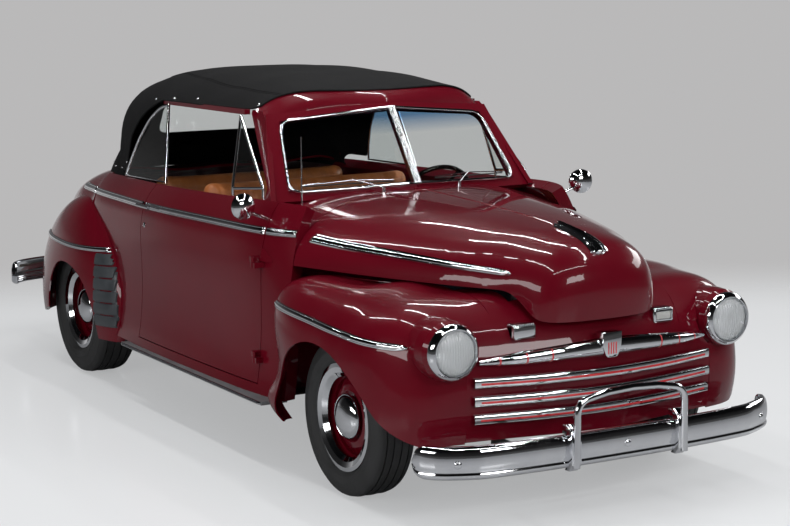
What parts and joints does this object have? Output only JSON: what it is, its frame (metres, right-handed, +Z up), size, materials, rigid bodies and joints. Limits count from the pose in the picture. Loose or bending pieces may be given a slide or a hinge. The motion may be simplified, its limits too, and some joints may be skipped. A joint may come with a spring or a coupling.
{
  "type": "two-door convertible car",
  "caption": "Low 1940s two-door convertible car with its soft top up, rounded fenders, a long hood, a barred grille, and a working steering linkage, doors, hood and deck lid.",
  "frame": {"origin": "on the ground at the middle of the overall length and width", "axes": "+X forward, +Y to the left of the car, +Z up"},
  "size_m": [5.0007, 1.8994, 1.6553],
  "materials": {
    "maroon_paint": "deep gloss maroon, polished",
    "chrome": "bright plated",
    "clear_glass": "clear",
    "top_cloth": "matte black canvas",
    "seat_leather": "satin tan",
    "tyre_rubber": "matte black",
    "chassis_black": "semi-gloss black",
    "bare_steel": "oily bare steel",
    "block_iron": "painted cast iron",
    "radiator_core": "dull finned core",
    "exhaust_steel": "heat-dulled",
    "floor_paint": "dull maroon primer",
    "strip_rubber": "ribbed grey",
    "lamp_glass": "fluted",
    "red_lens": "clear red",
    "wheel_paint": "gloss maroon",
    "dark_plastic": "dark brown-black",
    "dash_paint": "gloss maroon"
  },
  "bodies": {
    "body": {"body_sides": "maroon_paint", "bumper_guard": "chrome", "chassis_frame": "chassis_black", "convertible_top": "top_cloth", "cowl": "maroon_paint", "dashboard": "dash_paint", "engine": "block_iron", "exhaust": "exhaust_steel", "floor_pan": "floor_paint", "front_axle": "chassis_black", "front_bumper": "chrome", "front_fender_left": "maroon_paint", "front_fender_right": "maroon_paint", "front_seat": "seat_leather", "fuel_tank": "chassis_black", "grille_bars": "chrome", "grille_panel": "maroon_paint", "headlights": "lamp_glass", "parking_lights": "lamp_glass", "radiator": "radiator_core", "rear_axle": "chassis_black", "rear_body": "maroon_paint", "rear_bumper": "chrome", "rear_fender_left": "maroon_paint", "rear_fender_right": "maroon_paint", "rear_seat": "seat_leather", "rear_window": "clear_glass", "running_boards": "strip_rubber", "steering_column": "chassis_black", "tail_lights": "red_lens", "windshield_frame": "maroon_paint", "windshield_glass": "clear_glass"},
    "hood_lid": {"hood": "maroon_paint"},
    "deck_lid": {"deck_lid": "maroon_paint"},
    "knuckle_left": {"knuckle_left": "bare_steel"},
    "knuckle_right": {"knuckle_right": "bare_steel"},
    "tie_rod": {"tie_rod": "bare_steel"},
    "steering_wheel": {"steering_wheel": "dark_plastic"},
    "door_left": {"door_left": "maroon_paint", "door_fittings_left": "chrome", "vent_glass_left": "clear_glass"},
    "wheel_front_left": {"tyre_front_left": "tyre_rubber", "wheel_front_left": "wheel_paint", "wheel_cover_front_left": "chrome"},
    "wheel_rear_left": {"tyre_rear_left": "tyre_rubber", "wheel_rear_left": "wheel_paint", "wheel_cover_rear_left": "chrome"},
    "door_right": {"door_right": "maroon_paint", "door_fittings_right": "chrome", "vent_glass_right": "clear_glass"},
    "wheel_front_right": {"tyre_front_right": "tyre_rubber", "wheel_front_right": "wheel_paint", "wheel_cover_front_right": "chrome"},
    "wheel_rear_right": {"tyre_rear_right": "tyre_rubber", "wheel_rear_right": "wheel_paint", "wheel_cover_rear_right": "chrome"}
  },
  "joints": [
    {"name": "steer_left", "type": "hinge", "parent": "body", "child": "knuckle_left", "pos_m": [1.6, 0.6, 0.33], "axis": [0, 0, 1], "range_deg": [-30, 30]},
    {"name": "steer_right", "type": "hinge", "parent": "body", "child": "knuckle_right", "pos_m": [1.6, -0.6, 0.33], "axis": [0, 0, 1], "range_deg": [-30, 30]},
    {"name": "tie_rod_pivot", "type": "hinge", "parent": "knuckle_left", "child": "tie_rod", "pos_m": [1.45, 0.6, 0.305], "axis": [0, 0, 1], "range_deg": [-30, 30]},
    {"name": "front_left_spin", "type": "hinge", "parent": "knuckle_left", "child": "wheel_front_left", "pos_m": [1.6, 0.728, 0.33], "axis": [0, 1, 0], "continuous": true},
    {"name": "front_right_spin", "type": "hinge", "parent": "knuckle_right", "child": "wheel_front_right", "pos_m": [1.6, -0.728, 0.33], "axis": [0, 1, 0], "continuous": true},
    {"name": "rear_left_spin", "type": "hinge", "parent": "body", "child": "wheel_rear_left", "pos_m": [-1.296, 0.735, 0.355], "axis": [0, 1, 0], "continuous": true},
    {"name": "rear_right_spin", "type": "hinge", "parent": "body", "child": "wheel_rear_right", "pos_m": [-1.296, -0.735, 0.355], "axis": [0, 1, 0], "continuous": true},
    {"name": "steering_wheel_turn", "type": "hinge", "parent": "body", "child": "steering_wheel", "pos_m": [0.392, 0.37, 0.992], "axis": [-0.86, 0, 0.5103], "range_deg": [-510, 510]},
    {"name": "door_left_hinge", "type": "hinge", "parent": "body", "child": "door_left", "pos_m": [0.8925, 0.853, 0.65], "axis": [0, 0, -1], "range_deg": [0, 65]},
    {"name": "door_right_hinge", "type": "hinge", "parent": "body", "child": "door_right", "pos_m": [0.8925, -0.853, 0.65], "axis": [0, 0, 1], "range_deg": [0, 65]},
    {"name": "hood_hinge", "type": "hinge", "parent": "body", "child": "hood_lid", "pos_m": [0.903, 0, 1.1525], "axis": [0, -1, 0], "range_deg": [0, 50]},
    {"name": "deck_lid_hinge", "type": "hinge", "parent": "body", "child": "deck_lid", "pos_m": [-1.5945, 0, 1.0485], "axis": [0, 1, 0], "range_deg": [0, 60]}
  ],
  "couplings": [
    {"joint": "steer_right", "follows": "steer_left", "ratio": 1},
    {"joint": "tie_rod_pivot", "follows": "steer_left", "ratio": -1},
    {"joint": "steering_wheel_turn", "follows": "steer_left", "ratio": 17}
  ]
}
